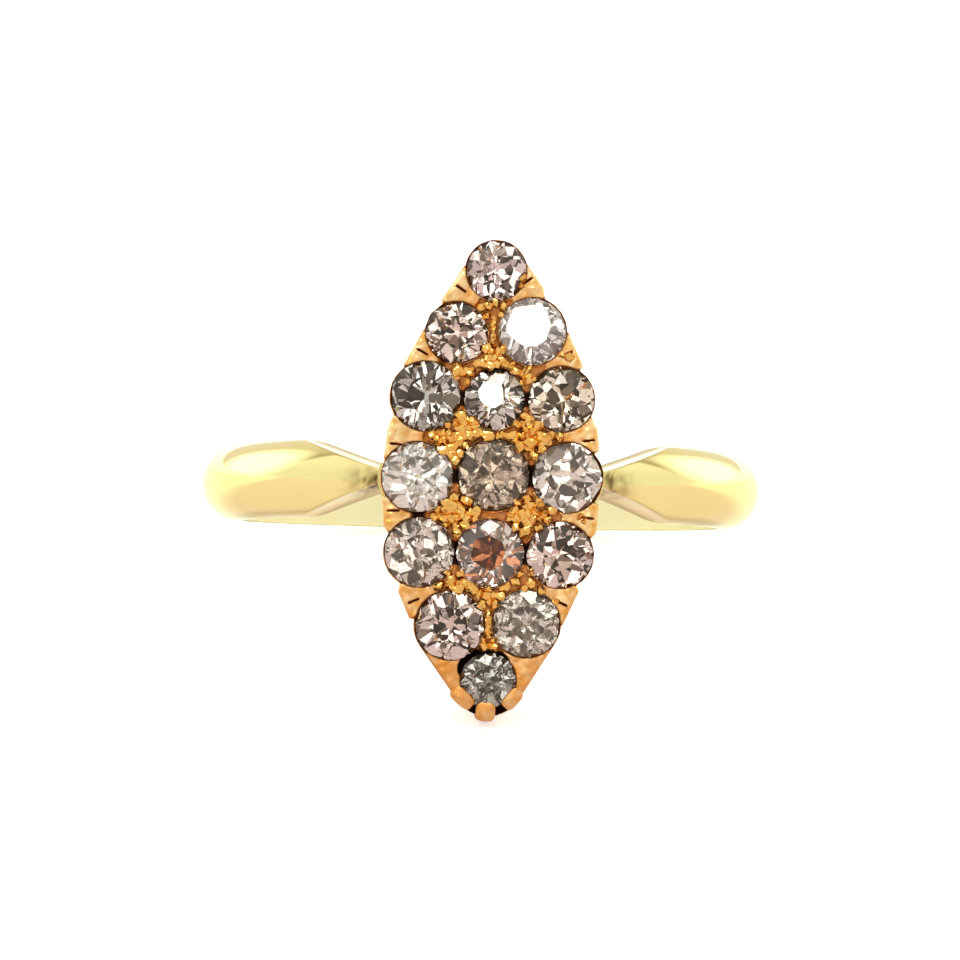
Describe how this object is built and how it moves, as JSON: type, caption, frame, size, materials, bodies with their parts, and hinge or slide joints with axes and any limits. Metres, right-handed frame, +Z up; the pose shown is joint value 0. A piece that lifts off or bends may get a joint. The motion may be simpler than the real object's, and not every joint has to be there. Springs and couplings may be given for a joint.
{
  "type": "diamond ring",
  "caption": "Finger ring with a long pointed oval cluster of round old-cut diamonds in a gold setting plate, on a half-round gold band with filed shoulders.",
  "frame": {"origin": "on the ground, in the middle of the ring's footprint as it lies", "axes": "+Z up; -Y towards the head, whose front leans back and looks towards -Y and up; +X to the right of the head seen from the front"},
  "size_m": [0.0202, 0.0228, 0.0157],
  "materials": {
    "gold": "polished 18 carat yellow gold, pale on the band and deeper on the setting plate",
    "diamond": "faceted and polished"
  },
  "bodies": {
    "root": {"gold_mount": "gold", "diamond_row1": "diamond", "diamond_row2_left": "diamond", "diamond_row2_right": "diamond", "diamond_row3_left": "diamond", "diamond_row3_middle": "diamond", "diamond_row3_right": "diamond", "diamond_row4_left": "diamond", "diamond_row4_middle": "diamond", "diamond_row4_right": "diamond", "diamond_row5_left": "diamond", "diamond_row5_middle": "diamond", "diamond_row5_right": "diamond", "diamond_row6_left": "diamond", "diamond_row6_right": "diamond", "diamond_row7": "diamond"}
  },
  "joints": []
}
